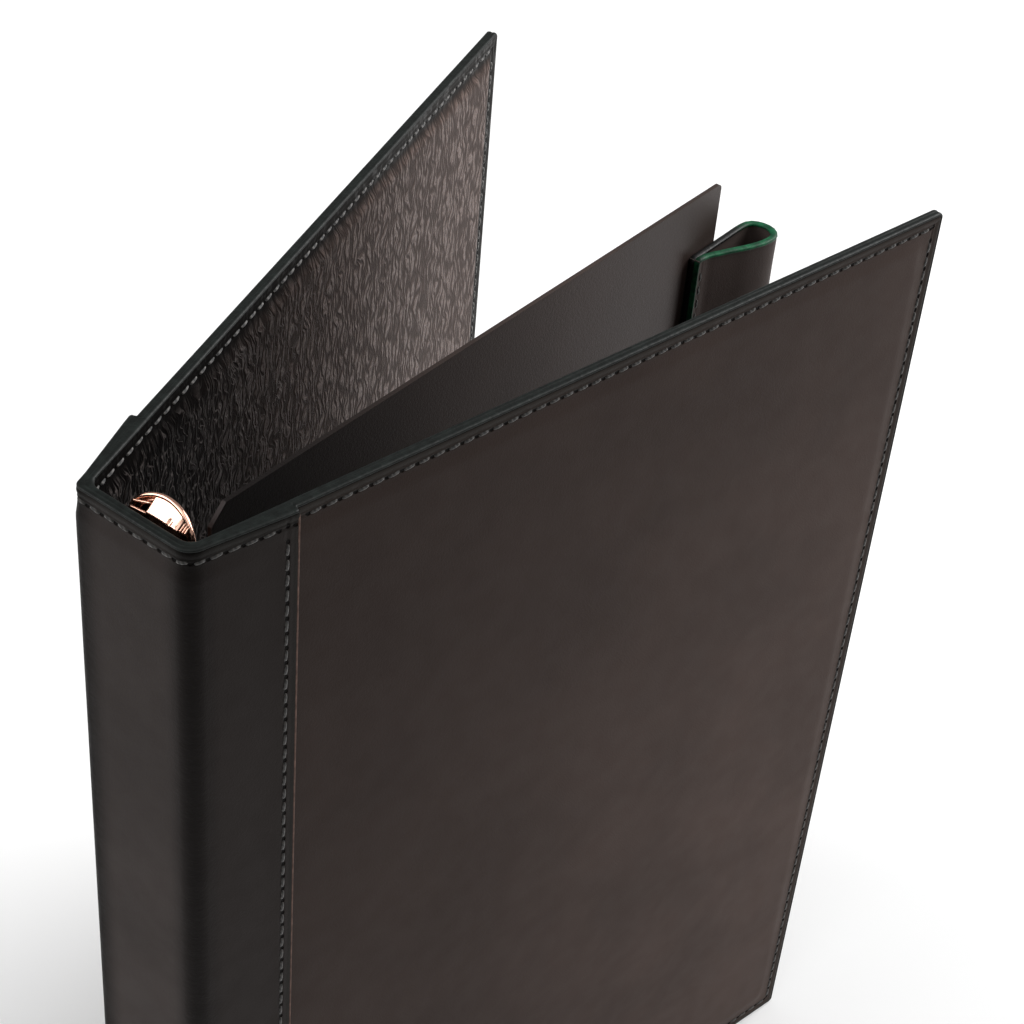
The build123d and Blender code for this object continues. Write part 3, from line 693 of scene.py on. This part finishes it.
def cover_hide(half):
    """Outer leather of a cover, from under the wing to the fore-edge."""
    near_seam = [14, 16, 18, 19.2, 19.8, 20.2, 20.45, 20.7, 20.95, 21.2, 21.5, 21.9, 22.5, 23.4]
    u, z = np.meshgrid(np.array(near_seam + cover_u), np.array(rows_z), indexing="ij")
    e = np.minimum(edge_distance(z), cover_reach - u)
    soft = e - 1.2 * np.exp(-np.abs(edge_distance(z) - (cover_reach - u)) / 2.5)
    depth = border_profile(e, 0.0) + border_depth * (1 - smooth(np.where(e < 3, e, soft), 3.1, 6.4))
    depth = depth + undulation(u, z, 0.04) * smooth(e, 3, 14)
    tuck = wing_depth(u) + leather + 0.06
    under = 1 - smooth(u, 20.2, 21.1)
    depth = np.where(u < 22, np.maximum(depth, depth * (1 - under) + tuck * under), depth)
    ur, zr = round_corner(u, z)
    c = half.c_reach(ur)
    outer = half.place(c, zr, depth)
    inner = half.place(c, zr, np.maximum(depth + 0.5, border_depth + leather - 0.05))
    s = half.along(half.c_reach(u))
    flat = np.stack([half.side * s, z, e], -1)
    piece = slab(f"{half.name}_cover_hide", outer, inner, half.cover_hide, flat, None, 0.1,
                 flip=half.side < 0)
    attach(piece, f"{half.name}_cover")
    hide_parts(f"{half.name}_cover_leather")


def lining(half):
    """Lining of one half, from the middle of the spine round the inner corner to the fore-edge."""
    cs = np.concatenate([spine_c, half.c_reach(spread(join_reach, 24.5, 1.6)[1:-1] + cover_u)])
    c, z = np.meshgrid(cs, np.array(rows_z), indexing="ij")
    u = np.where(c > 2, half.reach(c, half.outer), 0)
    e = np.minimum(edge_distance(z), cover_reach - u)
    face = lining_profile(e) + undulation(u * 1.3 + 40, z, 0.12) * smooth(e, 6, 16)
    back = np.where(e < 5, rim_inner_depth - 1.0, board_depth + 0.05)
    ur, zr = round_corner(u, z)
    cr = np.where(c > 3, half.c_reach(ur), c)
    inner = half.place(cr, zr, np.maximum(face, back + 0.3), True)
    outer = half.place(cr, zr, np.minimum(back, face - 0.3), True)
    flat = np.stack([half.side * half.along(c), z, e], -1)
    piece = slab(f"{half.name}_lining", outer, inner, mats["lining"], flat, None, 0.05, 1,
                 flip=half.side < 0)
    half.blend(piece)
    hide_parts("spine_lining", f"{half.name}_cover_lining")


def rim_line(half, e):
    """(c, z) of the edge of one half at an inset e: top edge, fore-edge and bottom edge."""
    straight = cover_reach - fore_corner
    us = spread(join_reach, 19.9, 1.5)[1:] + [20.2, 20.4, 20.55, 20.7, 20.9, 21.2] + spread(22, straight, 2.4)
    cs = np.concatenate([spine_c, half.c_reach(us)])
    angles = np.linspace(0, math.pi / 2, 9)[1:-1]
    cu = half.c_reach(straight + (fore_corner - e) * np.sin(angles))
    cz = (fore_corner - e) * np.cos(angles) + height - fore_corner
    upright = np.array(spread(fore_corner, height - fore_corner, 2.4)[::-1])
    c = np.concatenate([cs, cu, np.full(len(upright), half.c_reach(cover_reach - e)), cu[::-1], cs[::-1]])
    z = np.concatenate([np.full(len(cs), height - e), cz, upright, height - cz[::-1], np.full(len(cs), e)])
    return c, z


def rim_depth(half, c):
    """Depth of the outer face at the edge: the wing's up to the seam, then the cover's border."""
    u = np.where(c > 2, half.reach(c, half.outer), 0)
    return np.where(u < seam_reach, wing_depth(u), 0) * (1 - smooth(u, 20.3, 20.8)) \
        + border_depth * smooth(u, 20.3, 20.8)


# section of the painted rim: inset from the edge, share of the way from outer to inner face, lift off the face
rim_section = [(0.50, 0.0, -0.05), (0.40, 0.0, 0.02), (0.26, 0.01, 0.03), (0.12, 0.04, 0), (0.02, 0.12, 0),
               (-0.04, 0.28, 0), (0.02, 0.44, 0), (0.07, 0.50, 0), (0.02, 0.56, 0), (-0.05, 0.7, 0),
               (0.01, 0.86, 0), (0.12, 0.95, 0), (0.26, 0.99, 0.03), (0.40, 1.0, 0.02), (0.50, 1.0, -0.05),
               (0.42, 0.85, 0), (0.35, 0.5, 0), (0.42, 0.15, 0)]


def rim(half):
    """Painted edge that caps leather and lining together along the top, the fore-edge and the bottom."""
    sections = []
    for inset, share, lift in rim_section:
        c, z = rim_line(half, inset)
        outer = half.place(c, z, rim_depth(half, c) - lift)
        inner = half.place(c, z, rim_inner_depth + lift, True)
        sections.append(outer * (1 - share) + inner * share)
    verts, faces = tube(np.stack(sections, 1))
    if half.side > 0:
        faces = [f[::-1] for f in faces]
    piece = new_mesh(f"{half.name}_painted_edge", verts, faces, mats["rim"])
    half.blend(piece)


def wing_edge(half):
    """Burnished lip along the cut edge of the wing, coloured paler as a painted highlight: a thin light line down
    the seam.
    """
    top = wing_depth(seam_reach)
    z = np.array(spread(1.0, height - 1.0, 2.0))
    sections = []
    for angle in np.linspace(0, 2 * math.pi, 12, endpoint=False):
        reach = seam_reach - 0.08 + 0.24 * math.cos(angle)
        depth = top + 0.16 + 0.26 * math.sin(angle)
        sections.append(half.place(half.c_reach(reach), z, depth))
    verts, faces = tube(np.stack(sections, 1))
    if half.side > 0:
        faces = [f[::-1] for f in faces]
    piece = new_mesh(f"{half.name}_wing_edge", verts, faces, mats["painted_lip_highlight"])
    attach(piece, f"{half.name}_cover")


def face_normal(half, c, inside=False):
    """Unit normals of the outer or inner face at c."""
    phi = np.clip(np.asarray(c, float) - 1, 0, 1) * half.turn
    sign = -1 if inside else 1
    return np.stack([sign * half.side * np.sin(phi), -sign * np.cos(phi), np.zeros_like(phi)], -1)


def stitches(half):
    """Thread of one half: on the spine hide, on the cover hide and on the lining."""
    seam = seam_of(half)
    fore = float(half.along(half.c_reach(cover_reach))) - stitch_row
    low, high = stitch_row, height - stitch_row

    def row(at, depth_at, sign=0, inside=False):
        """A row along the edge at height at, with the sign of its outward way, or a column at length at."""
        def place(position, across, lift):
            c = half.c_along(position if sign else at + across)
            z = at + sign * across if sign else position
            return half.place(c, z, depth_at(c) + (lift if inside else -lift), inside)

        def normals(position):
            return face_normal(half, half.c_along(position if sign else at + 0 * position), inside)
        return place, normals

    def on_wing(c):
        return rim_depth(half, np.minimum(c, float(half.c_reach(seam_reach - 0.3)))) + stitch_channel

    def on_cover(c):
        return border_depth + stitch_channel + 0 * c

    def on_lining(c):
        return rim_inner_depth - stitch_channel + 0 * c

    wing, cover, inside = [], [], []
    seam_row = seam - seam_stitch_row
    last = pitch * math.floor(seam_row / pitch)
    first = pitch * math.ceil((seam + 0.6) / pitch)
    for z0, sign in ((high, 1), (low, -1)):
        wing += stitch_row_parts(*row(z0, on_wing, sign), 0, last + 0.01)
        cover += stitch_row_parts(*row(z0, on_cover, sign), first, fore + 0.6)
        inside += stitch_row_parts(*row(z0, on_lining, sign, True), 0, fore + 0.6, lining_thread_radius)
    column = (pitch, height - pitch + 0.01)
    wing += stitch_row_parts(*row(seam_row, on_wing), *column)
    cover += stitch_row_parts(*row(fore, on_cover), *column)
    inside += stitch_row_parts(*row(fore, on_lining, inside=True), *column, lining_thread_radius)
    for name, parts, material, slot in (
        (f"{half.name}_spine_stitches", wing, "thread", "cover_leather"),
        (f"{half.name}_cover_stitches", cover, "thread", "cover_leather"),
        (f"{half.name}_lining_stitches", inside, "highlit_lining_thread", "lining_leather")):
        verts, faces = gather(parts)
        piece = new_mesh(name, verts, faces, mats[material])
        if parts is cover:
            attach(piece, f"{half.name}_cover")
        else:
            half.blend(piece)


for half in halves:
    fore_column = half.side * (float(half.along(half.c_reach(cover_reach))) - stitch_row)
    seam_column = half.side * (seam_of(half) - seam_stitch_row)
    half.hide = hide_material(f"{half.name}_spine_calf", 0.031, 0.45, seam_column)
    half.cover_hide = hide_material(f"{half.name}_cover_calf", 0.040, 0.95, fore_column)
    spine_hide(half)
    cover_hide(half)
    lining(half)
    rim(half)
    wing_edge(half)
    stitches(half)


# ---- pen loop: a strip folded round into a tube, sewn along its spine-side edge ----
def smooth_line(points, count):
    """Evenly spaced points on a smooth curve through a few points in the plane."""
    p = np.array([points[0]] + list(points) + [points[-1]], float)
    line = []
    for i in range(1, len(p) - 2):
        t = np.linspace(0, 1, 24, endpoint=False)[:, None]
        a, b, c, d = p[i - 1], p[i], p[i + 1], p[i + 2]
        line.append(0.5 * (2 * b + (c - a) * t + (2 * a - 5 * b + 4 * c - d) * t ** 2
                           + (3 * b - a - 3 * c + d) * t ** 3))
    line = np.concatenate(line + [p[-1:]])
    run = np.concatenate([[0], np.cumsum(np.linalg.norm(np.diff(line, axis=0), axis=1))])
    at = np.linspace(0, run[-1], count)
    return np.stack([np.interp(at, run, line[:, k]) for k in (0, 1)], 1), run[-1]


def pen_loop():
    """The loop's leaf, its green painted edges and its stitches, all on the divider's front face."""
    lo, hi = box_mm("pen_loop")
    sheet_lo, sheet_hi = box_mm("divider_sheet")
    hang = Vector(joints["divider_hinge"]["pos_m"]) / MM
    thickness, reach = 0.9, sheet_hi.y - sheet_lo.y
    tilt = math.asin((sheet_hi.x - sheet_lo.x - thickness) / reach)
    along = np.array([-math.sin(tilt), math.cos(tilt)])
    out = np.array([math.cos(tilt), math.sin(tilt)])
    sewn = (lo.y - hang.y) / math.cos(tilt)
    wide = hi.y - lo.y
    origin = np.array([hang.x, hang.y]) + out * thickness / 2 + along * sewn
    half_leaf = 0.66
    route = [(0.0, 0.7), (6, 0.7), (12, 0.7), (wide - 4.6, 0.72), (wide - 1.9, 1.4), (wide - 0.7, 3.6),
             (wide - 0.9, 6.0), (wide - 2.6, 7.75), (wide - 5.6, 7.85), (wide - 9.6, 6.6), (wide - 13.6, 4.7),
             (5.6, 3.0), (3.2, 2.0), (0.2, 1.75)]
    centre, length = smooth_line(route, 110)
    tangent = unit(np.gradient(centre, axis=0))
    normal = np.stack([tangent[:, 1], -tangent[:, 0]], 1)
    run = np.linspace(0, length, len(centre))

    def place(inset_line, z, lift):
        """lift is the distance from the leaf's centre line, positive on its outside."""
        k = np.interp(inset_line, run, np.arange(len(run)))
        p = np.stack([np.interp(k, np.arange(len(run)), centre[:, m]) for m in (0, 1)], -1)
        n = np.stack([np.interp(k, np.arange(len(run)), normal[:, m]) for m in (0, 1)], -1)
        q = p + n * np.asarray(lift)[..., None]
        xy = origin + q[..., :1] * along + q[..., 1:] * out
        return np.concatenate([xy, np.broadcast_to(z, q.shape[:-1])[..., None]], -1) * MM

    insets = [0.3, 0.6, 0.9, 1.1, 1.3, 1.6, 2.1, 3.0]
    zs = np.array([lo.z + v for v in insets] + spread(lo.z + 3.0, hi.z - 3.0, 1.6)[1:-1]
                  + [hi.z - v for v in reversed(insets)])
    us = np.concatenate([[0.3, 0.7, 1.2, 1.5, 1.8, 2.3], np.linspace(3, length - 3, 96),
                         length - np.array([2.3, 1.8, 1.5, 1.2, 0.7, 0.3])])
    u, z = np.meshgrid(us, zs, indexing="ij")
    e = np.minimum(np.minimum(z - lo.z, hi.z - z), np.minimum(u, length - u))
    dent = 0.07 * hump(e, 1.0, 0.25) + 0.16 * hump(length - u, 1.5, 0.4)
    swell = 0.05 * np.sin(z / 6.1) * smooth(e, 2, 8)
    leaf = slab("pen_loop_leaf", place(u, z, half_leaf - dent + swell), place(u, z, -half_leaf + swell),
                mats["loop"], np.stack([u + 230, z - 120, e + 2], -1), None, 0.1, flip=False)
    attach(leaf, "divider")
    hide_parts("pen_loop")

    def edge_line(inset):
        """The leaf's outline at an inset, with small rounded corners."""
        corner = 1.2
        r = corner - inset
        left, right, low, high = corner, length - corner, lo.z + corner, hi.z - corner
        top, side = np.array(spread(left, right, 1.2)), np.array(spread(low, high, 2.0))
        a = np.linspace(0, math.pi / 2, 5)[1:-1]
        over, down = r * np.sin(a), r * np.cos(a)
        uu = np.concatenate([top, right + over, np.full(len(side), right + r), right + over[::-1], top[::-1],
                             left - over, np.full(len(side), left - r), left - over[::-1]])
        zz = np.concatenate([np.full(len(top), high + r), high + down, side[::-1], low - down[::-1],
                             np.full(len(top), low - r), low - down, side, high + down[::-1]])
        return uu, zz

    ring, shade = [], []
    edge_section = [(0.62, 1.05), (0.4, 1.18), (0.16, 1.08), (0.0, 0.72), (-0.08, 0), (0.0, -0.72),
                    (0.16, -1.08), (0.4, -1.18), (0.62, -1.05), (0.4, 0)]
    for inset, share in edge_section:
        uu, zz = edge_line(inset)
        ring.append(place(uu, zz, share * half_leaf))
        # painted shade: the back leaf's edge inside the loop goes near black, the sewn edge partly
        inner_leaf = 1 - smooth(uu, length * 0.30, length * 0.46)
        shade.append(np.maximum(inner_leaf, 0.6 * smooth(uu, length - 2.2, length - 1.0)))
    ring = np.stack(ring, 1)
    ring = np.concatenate([ring, ring[:1]])
    verts, faces = tube(ring[:-1], False)
    n, steps = ring.shape[1], len(ring) - 1
    last = [(steps - 1) * n + i for i in range(n)]
    faces += [[last[i], last[(i + 1) % n], (i + 1) % n, i] for i in range(n)]
    edge = new_mesh("pen_loop_painted_edge", verts, [f[::-1] for f in faces], mats["green"],
                    fold_and_shade=np.stack(shade, 1).ravel())
    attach(edge, "divider")
    parts = stitch_row_parts(
        lambda position, across, lift: place(length - 1.5 + across, position, half_leaf - 0.14 + lift),
        lambda position: np.tile(np.array([out[0], out[1], 0.0]), (len(position), 1)),
        lo.z + 1.2, hi.z - 1.0, loop_thread_radius)
    verts, faces = gather(parts)
    thread = new_mesh("pen_loop_stitches", verts, faces, mats["thread"])
    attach(thread, "divider")


mats["loop"] = hide_material("pen_loop_calf", 0.052, 0.6, -50.0)
pen_loop()

# ---- CAD nodes that keep their shape ----
finishes = {
    "ring_casing": ("metal", 0.18), "left_blade": ("metal", 0.1), "right_blade": ("metal", 0.1),
    "left_rings": ("metal", 0.1), "right_rings": ("metal", 0.1), "top_lever": ("metal", 0.2),
    "bottom_lever": ("metal", 0.2), "top_lever_pin": ("rivet", 0.12), "bottom_lever_pin": ("rivet", 0.12),
    "casing_rivets": ("rivet", 0.1), "divider_sheet": ("sheet", 0.06), "spine_board": ("board", 0.15),
    "front_cover_board": ("board", 0.15), "back_cover_board": ("board", 0.15),
}
for node, (finish, bevel) in finishes.items():
    piece = frame["nodes"][node]
    piece.data.materials.clear()
    piece.data.materials.append(mats[finish])
    edge = piece.modifiers.new("edge", "BEVEL")
    edge.width = bevel * MM
    edge.segments = 2
    edge.limit_method = "ANGLE"
    edge.angle_limit = math.radians(35)
    edge.harden_normals = True


# ---- thumb plates of the two levers: rolled lip round the hood, sloping plate and ribs under it ----
def rod(points, radius):
    """Closed round rod along a path of points in millimetres, thinning at both ends."""
    t = np.linspace(-1, 1, len(points))
    return round_tube(points, (0.12, -0.61, 0.79), radius * np.sqrt(np.clip(1.02 - t ** 24, 0.08, 1)), 12)


# the CAD hood: height of its arch, of its rounded end and its sheet thickness
hood_bow, hood_end, hood_sheet = 1.75, 4.6, 0.8
lip_radius, inner_lip_radius, inner_lip_share = 0.5, 0.26, 0.84
plate_sides = (-2.6, 4.5)          # left and right edge of the thumb plate
plate_front_y, plate_drop = 5.25, 1.75
rib_places = (5.05, 5.65, 6.2)


def thumb_plate(node, body, mirrored):
    """Fittings of one lever, drawn for the upper one and mirrored for the lower one."""
    lo, hi = box_mm(node)
    half_width, crown = hi.x, hi.y
    tip = height - lo.z if mirrored else hi.z
    arch_radius = (half_width ** 2 + hood_bow ** 2) / (2 * hood_bow)

    def hood(x):
        return crown - (arch_radius - np.sqrt(arch_radius ** 2 - x ** 2))

    # rolled lip up one side of the hood, round its end and down the other side, and a thinner one inside it
    turn = np.linspace(math.pi, 0, 61)
    x, z = half_width * np.cos(turn), tip - hood_end + (hood_end + 0.5) * np.sin(turn)
    low = np.linspace(tip - 13.0, tip - hood_end, 12)[:-1]
    x = np.concatenate([np.full(len(low), -half_width), x, np.full(len(low), half_width)])
    z = np.concatenate([low, z, low[::-1]])
    parts = [rod(np.stack([x, hood(x) - hood_sheet / 2, z], 1), lip_radius)]
    x = x * inner_lip_share
    parts.append(rod(np.stack([x, hood(x) - hood_sheet - 0.15, z - 0.55], 1), inner_lip_radius))

    # plate that slopes up from its front edge to the hood's underside, with a small notch in the front edge
    across, slope = np.meshgrid(np.linspace(*plate_sides, 29), np.linspace(0, 1, 19), indexing="ij")
    notch = 0.22 * hump(across, 2.6, 0.5) * (slope < 0.4)
    y = plate_front_y + (hood(across) - hood_sheet - plate_front_y + 0.2) * slope
    rise = tip - plate_drop + 2.1 * slope + 0.35 * slope ** 2 - 0.05 * across ** 2 * slope - notch
    parts.append(plate_mesh(np.stack([across, y, rise], -1), 0.5))

    # ribs on one side of the plate, and two bars over the open slot on its other side
    run = np.linspace(0, 1, 9)
    for at in rib_places:
        y = 5.35 + (hood(at) - hood_sheet - 5.3) * run
        parts.append(rod(np.stack([at + 0 * run, y, tip - 1.9 + 1.1 * run], 1), 0.2))
    run = np.linspace(0, 1, 13)
    parts.append(rod(np.stack([-6.7 + 4.2 * run, 6.1 + 0.5 * run, tip - 1.9 + 1.2 * run], 1), 0.24))
    parts.append(rod(np.stack([-6.5 + 4.1 * run, 5.4 - 0.1 * run, tip - 2.6 + 0.6 * run], 1), 0.3))
    verts, faces = gather(parts)
    if mirrored:
        verts[:, 2] = height - verts[:, 2]
        faces = [f[::-1] for f in faces]
    piece = new_mesh(f"{node}_thumb_plate", verts * MM, faces, mats["metal"])
    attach(piece, body)


def plate_mesh(top, thickness):
    """Vertices and faces of a closed plate under a grid of points, its rim rounded over."""
    ni, nj = top.shape[:2]
    i, j = np.meshgrid(np.linspace(-1, 1, ni), np.linspace(-1, 1, nj), indexing="ij")
    over = np.clip(np.maximum(np.abs(i), np.abs(j)) - 0.93, 0, 1) / 0.07
    upper = top - np.stack([0 * i, 0 * i, 0.3 * thickness * over ** 2], -1)
    under = top - np.stack([0 * i, 0 * i, thickness * (1 - 0.25 * over)], -1)
    index = np.arange(ni * nj).reshape(ni, nj)
    n = ni * nj
    rim = np.concatenate([index[:, 0], index[-1, 1:], index[-2::-1, -1], index[0, -2:0:-1]])
    sides = np.stack([rim, rim + n, np.roll(rim, -1) + n, np.roll(rim, -1)], 1)
    faces = np.concatenate(sheet_faces(index) + [sides])
    return np.concatenate([upper.reshape(-1, 3), under.reshape(-1, 3)]), faces.tolist()


thumb_plate("top_lever", "top_lever", False)
thumb_plate("bottom_lever", "bottom_lever", True)


# ---- stage, light and camera ----
def stage_floor():
    """A large pale floor."""
    sh = Shader("pale_floor", Specular_IOR_Level=0.3)
    soft = sh.noise(sh.object_mm(), 0.004, 3.0)
    sh.finish(sh.mix(soft, (0.93, 0.93, 0.93, 1), (0.96, 0.96, 0.96, 1)), 0.6,
              sh.bump(sh.noise(sh.object_mm(), 0.6, 4.0), 0.02, 0.2))
    size = 4000 * MM
    corners = [(-size, -size, 0), (size, -size, 0), (size, size, 0), (-size, size, 0)]
    floor = new_mesh("floor", corners, [(0, 1, 2, 3)], sh.material)


def area_light(name, location, target, size, power):
    """A square soft lamp; places and size in metres."""
    data = bpy.data.lights.new(name, "AREA")
    data.shape, data.size, data.energy = "SQUARE", size, power
    lamp = bpy.data.objects.new(name, data)
    lamp.location = location
    lamp.rotation_mode = "QUATERNION"
    lamp.rotation_quaternion = (Vector(target) - Vector(location)).to_track_quat("-Z", "Y")
    bpy.context.scene.collection.objects.link(lamp)


def studio():
    """Even white surroundings and three soft lamps."""
    world = bpy.data.worlds.new("studio")
    world.use_nodes = True
    background = world.node_tree.nodes["Background"]
    background.inputs["Color"].default_value = (1, 1, 1, 1)
    background.inputs["Strength"].default_value = 0.33
    bpy.context.scene.world = world
    middle = (0, 0.08, 0.15)
    area_light("key", (-0.9, -0.8, 1.0), middle, 0.9, 11)
    area_light("back", (0.5, 1.3, 1.1), middle, 1.0, 26)
    area_light("overhead", (0.1, -0.4, 1.7), (0.1, -0.4, 0), 1.2, 6)


def photo_camera():
    """The photograph's viewpoint: above and in front of the spine's front corner, tilted a little."""
    data = bpy.data.cameras.new("camera")
    data.sensor_width = 36
    data.lens = 82.33
    data.shift_x, data.shift_y = 0.0117, 0.0508
    camera = bpy.data.objects.new("camera", data)
    yaw, down, roll = -0.62872, 0.68724, 0.09014
    forward = Vector((math.sin(yaw) * math.cos(down), math.cos(yaw) * math.cos(down), -math.sin(down)))
    right = Vector((math.cos(yaw), -math.sin(yaw), 0))
    up = right.cross(forward)
    side = right * math.cos(roll) + up * math.sin(roll)
    top = up * math.cos(roll) - right * math.sin(roll)
    camera.matrix_world = Matrix.Translation((0.21833, -0.19974, 0.47525)) @ Matrix(
        (side, top, -forward)).transposed().to_4x4()
    bpy.context.scene.collection.objects.link(camera)
    bpy.context.scene.camera = camera


stage_floor()
studio()
photo_camera()
bpy.context.scene.view_settings.view_transform = "Standard"
